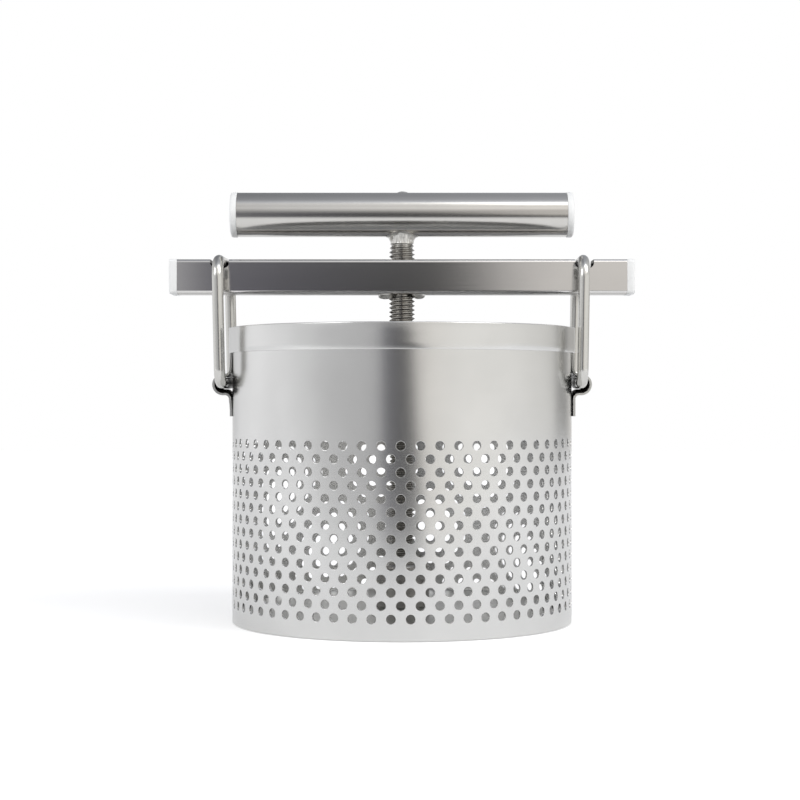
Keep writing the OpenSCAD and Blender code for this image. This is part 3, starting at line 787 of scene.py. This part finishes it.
def in_notch(centre, normal):
    beside = abs(normal.x) > 0.5 or (normal.z > 0.4 and centre.z < 176.5)
    return 85 < abs(centre.x) < 95.5 and beside


def in_bore(centre):
    return abs(centre.x) < 110.9 and max(abs(centre.y), abs(centre.z - BAR_Z)) < 7.2


# Painted shade, a near-black steel, on the notch walls and in the bore
wear(bar, PAINTED_SHADE_STEEL, lambda i, c, n: in_notch(c, n) or in_bore(c))
# Painted shade on the flat underside: a darker and rougher steel than the bar's
wear(bar, UNDERSIDE_ROUGH_SHADE, lambda i, c, n: n.z < -0.8 and c.z < BAR_Z - BAR_W / 2 + 0.3)
finish_edges(bar, 0.15)

# The cap's places along X with their growth: its shell over the bar's end, and its plug in the bore
CAP_SHELL = [
    (111.02, 0.985), (111.02, 1.012), (111.3, 1.024), (113.6, 1.024),
    (114.2, 1.018), (114.6, 1.0), (114.85, 0.972), (114.95, 0.94),
]
CAP_PLUG = [(101.0, 0.97), (101.5, 1), (111.1, 1)]
for side, name in ((1, "right"), (-1, "left")):
    shell = loft(on_side(side, along_x(BAR_OUTER, CAP_SHELL)))
    plug = loft(on_side(side, along_x(rounded_square(13.9, 0.6), CAP_PLUG)))
    verts, faces = joined(shell, plug)
    put(f"bar_{name}_plug", verts, faces, CAP, "crossbar", [f"crossbar_{name}_cap"])


def bead_mesh(side, seed):
    """An uneven weld bead laid round the screw under the bar, with a run on the left one's front."""
    rings = []
    low = BAR_Z - BAR_W / 2 + 0.05
    for s in np.linspace(-1, 1, 49):
        a = math.radians(side * 90 - 90 + 52 * s)
        end = math.sqrt(max(1 - abs(s) ** 6, 0.0))
        run = math.exp(-(((s - 0.86) / 0.1) ** 2)) if side < 0 else 0.0
        ripple = 0.08 * math.sin(17 * s + seed) + 0.2 * noise.noise((3.1 * s, seed, 0.0))
        wide = 2.45 * (0.3 + 0.7 * end) * (1 + 0.4 * ripple)
        deep = 2.0 * (0.12 + 0.88 * end) * (1 + ripple) + 1.1 * run
        ring = []
        for i in range(24):
            b = 2 * math.pi * i / 24
            down = min(math.copysign(abs(math.sin(b)) ** 0.7, math.sin(b)), 0.12)
            bump = 1 + 0.12 * noise.noise((2.5 * s, 1.5 * math.cos(b), seed + 3 * math.sin(b)))
            r = max(9.15 - 0.7 * run + wide * math.cos(b) * bump, 6.55)
            z = low + min(deep * down * bump, 0.0)
            ring.append((r * math.cos(a), r * math.sin(a), z))
        rings.append(ring)
    return loft(rings)


verts, faces = joined(bead_mesh(1, 4.2), bead_mesh(-1, 1.3))
put("weld_beads", verts, faces, WELD, "crossbar", ["nut_welds"], sharp=60)


# ---------------------------------------------------------------- screw


def thread_mesh():
    """The right-hand thread, which fades towards the weld above it."""
    steps = 64
    # Places along one turn, with their height over the root as a share of the depth
    section = [(-0.10, 0.0), (0.10, 0.0), (0.14, 0.06), (0.42, 0.92)]
    section += [(0.46, 1.0), (0.54, 1.0), (0.58, 0.92), (0.86, 0.06)]
    root, depth = 5.2, 1.15
    start = THREAD_LOW - 2 * PITCH
    laps = int((THREAD_TOP - THREAD_LOW) / PITCH) + 4
    n = laps * steps
    p = len(section)
    verts = []
    for s in range(n + 1):
        a = 2 * math.pi * s / steps
        for f, high in section:
            z = start + PITCH * (s / steps + f)
            fade = 1 - 0.45 * smooth((z - THREAD_TOP + 4.4) / 4.0)
            rub = 1 + 0.03 * noise.noise((z * 0.7, math.cos(a), math.sin(a)))
            r = root + depth * high * fade * rub
            verts.append((r * math.cos(a), r * math.sin(a), z))
    faces = []
    for s in range(n):
        for k in range(p):
            a, d = s * p + k, (s + 1) * p + k
            if k < p - 1:
                b, c = a + 1, d + 1
            elif s + 1 + steps <= n:
                b, c = (s + steps) * p, (s + 1 + steps) * p
            else:
                continue
            faces.append((a, d, c, b))
    return verts, faces


def between(verts, faces, low, high):
    """The part of a shell between two heights, closed by flat faces there."""
    work = bmesh.new()
    points = [work.verts.new(np.asarray(v) * MM) for v in verts]
    for face in faces:
        work.faces.new([points[i] for i in face])
    for z, up in ((low, -1), (high, 1)):
        found = bmesh.ops.bisect_plane(
            work, geom=work.verts[:] + work.edges[:] + work.faces[:], dist=1e-7,
            plane_co=(0, 0, z * MM), plane_no=(0, 0, up), clear_outer=True,
        )
        edges = [e for e in found["geom_cut"] if isinstance(e, bmesh.types.BMEdge)]
        bmesh.ops.edgenet_fill(work, edges=edges)
    bmesh.ops.recalc_face_normals(work, faces=work.faces[:])
    work.verts.index_update()
    verts = [tuple(v.co / MM) for v in work.verts]
    faces = [tuple(v.index for v in f.verts) for f in work.faces]
    work.free()
    return verts, faces


# The plain parts of the rod: guide, journal with its groove, and the end inside the handle
GUIDE = [(0, 8.35), (6.2, 8.35), (6.45, 8.6), (6.45, 29.3), (5.9, THREAD_LOW), (0, THREAD_LOW)]
JOURNAL = [(0, 3.5), (3.85, 3.5), (4, 3.65), (4, 4.05), (3.2, 4.05), (3.2, 5.15), (4, 5.15), (4, 8.35), (0, 8.35)]
ROD_END = [(0, THREAD_TOP), (5, THREAD_TOP), (5, 209.5), (4.7, 209.8), (0, 209.8)]
thread = between(*thread_mesh(), THREAD_LOW, THREAD_TOP)
verts, faces = joined(thread, *(lathe(outline, 64) for outline in (GUIDE, JOURNAL, ROD_END)))
put("screw_rod", verts, faces, THREAD, "screw", ["screw"], sharp=34)


# ---------------------------------------------------------------- handle


def on_handle(v):
    """From a shape turned round Z to the handle's own axis, which lies along X."""
    return (v[2], v[0], v[1] + HANDLE_Z)


end = HANDLE_HALF
profile = [(10.85, -end), (11, -end + 0.15), (11, end - 0.15), (10.85, end)]
profile += [(9.95, end), (9.8, end - 0.15), (9.8, -end + 0.15), (9.95, -end)]
verts, faces = lathe(profile, 160, on_handle)
tube = put("grip_tube", verts, faces, TUBE, "screw", ["handle_tube"])
cut(tube, [
    cutter("shank_hole", *lathe([(0, 180), (5.05, 180), (5.05, 200), (0, 200)], 64)),
    cutter("plug_hole", *lathe([(0, 203), (2.75, 203), (2.75, 220), (0, 220)], 48)),
])
shade(tube, 32)

for side, name in ((1, "right"), (-1, "left")):
    profile = [(0, end + 3.5)] + [(r, end + 3.5 - 0.25 * (r / 9.6) ** 2) for r in (3.0, 6.0, 8.0, 9.2)]
    for a in np.radians((78, 62, 46, 30, 14, 0)):
        profile.append((9.9 + 1.3 * math.cos(a), end + 1.85 + 1.35 * math.sin(a)))
    profile += [(11.2, end + 0.25), (11.1, end + 0.02), (9.75, end + 0.02), (9.75, end - 9.4)]
    profile += [(9.4, end - 10), (8.5, end - 10), (8.5, end - 0.5), (0, end - 0.5)]
    verts, faces = lathe([(r, side * z) for r, z in profile], 96, on_handle)
    put(f"grip_{name}_plug", verts, faces, CAP, "screw", [f"handle_{name}_cap"])


def tube_side(y, grow):
    """Height of the tube's skin over or under its axis at a distance from it."""
    return math.sqrt((HANDLE_R + grow) ** 2 - min(abs(y), HANDLE_R - 0.1) ** 2)


def collar_mesh():
    """The weld between screw and handle: it widens upwards and runs up the tube's sides."""
    around, up, low, bore = 160, 24, 186.98, 5.05
    rings = []
    for t in [i / up for i in range(up + 1)]:
        ring = []
        for i in range(around):
            a = 2 * math.pi * i / around
            flow = noise.noise((2.6 * math.cos(a) + 5, 2.6 * math.sin(a), 0.9 * t))
            fine = noise.noise((7.0 * math.cos(a), 7.0 * math.sin(a) + 3, 1.6 * t))
            toe = noise.noise((2.1 * math.cos(a), 2.1 * math.sin(a), 7.0))
            wide = math.hypot(7.95 * math.cos(a), 6.7 * math.sin(a)) + 0.5 * toe
            spread = 1 - math.sqrt(max(1 - t**2.8, 0.0))
            r = 5.6 - 0.1 * math.sin(math.pi * min(1.6 * t, 1.0)) + (wide - 5.6) * (0.22 * t + 0.78 * spread)
            r += (0.3 * flow + 0.45 * fine) * math.sin(math.pi * min(t * 1.1, 1.0)) ** 0.6
            x, y = r * math.cos(a), r * math.sin(a)
            top = HANDLE_Z - tube_side(y, 0.03)
            ring.append((x, y, low + t * (top - low)))
        rings.append(ring)
    inner = []
    for i in range(around):
        a = 2 * math.pi * i / around
        x, y = bore * math.cos(a), bore * math.sin(a)
        inner.append((x, y, HANDLE_Z - tube_side(y, 0.03)))
    rings.append(inner)
    rings.append([(x, y, low) for x, y, _ in inner])
    return loft(rings, closed=True)


verts, faces = collar_mesh()
put("weld_collar", verts, faces, WELD, "screw", ["handle_weld"], sharp=75)


def plug_weld_mesh():
    """A low dome on the tube's top with an uneven edge."""
    rings = []
    turns = [2 * math.pi * i / 72 for i in range(72)]
    for s in [i / 10 for i in range(11)]:
        ring = []
        for a in turns:
            reach = 2.85 + 0.3 * noise.noise((2.2 * math.cos(a), 2.2 * math.sin(a), 2.0))
            r = max(reach * s, 0.02)
            x, y = r * math.cos(a) + 0.3, r * math.sin(a)
            swell = 0.64 * (1 - s**2) * (1 + 0.15 * noise.noise((x * 0.8, y * 0.8, 1.0)))
            ring.append((x, y, HANDLE_Z + tube_side(y, 0.02) + swell))
        rings.append(ring)
    for z in (HANDLE_Z + 10.7, 209.87):
        rings.append([(2.7 * math.cos(a), 2.7 * math.sin(a), z) for a in turns])
    return loft(rings)


verts, faces = plug_weld_mesh()
put("weld_plug", verts, faces, WELD, "screw", ["handle_plug_weld"], sharp=75)


# ---------------------------------------------------------------- plate and hub

low, top, reach, bend, skin, bore = 1.3, 7.3, 80.97, 3, 1.5, 4.05
profile = [(bore, top), (20, top), (60, top)]
for a in np.radians(np.linspace(90, 0, 10)):
    profile.append((reach - bend + bend * math.cos(a), top - bend + bend * math.sin(a)))
profile += [(reach, low + 0.1), (reach - 0.1, low), (reach - 1.4, low), (reach - skin, low + 0.1)]
for a in np.radians(np.linspace(0, 90, 8)):
    profile.append((reach - bend + (bend - skin) * math.cos(a), top - bend + (bend - skin) * math.sin(a)))
profile += [(60, top - skin), (bore, top - skin)]
verts, faces = lathe(profile, 240)
put("plate_disc", verts, faces, PLATE, "plate", ["press_plate"])

profile = [(6.55, 7.32), (13.3, 7.32), (13.5, 7.5), (13.5, 26.6), (13.42, 26.95)]
profile += [(12.15, 28.22), (11.9, 28.3), (7.0, 28.3), (6.7, 28.2), (6.55, 28.0)]
verts, faces = lathe(profile, 96)
put("plate_hub", verts, faces, THREAD, "plate", ["press_hub"], sharp=50)
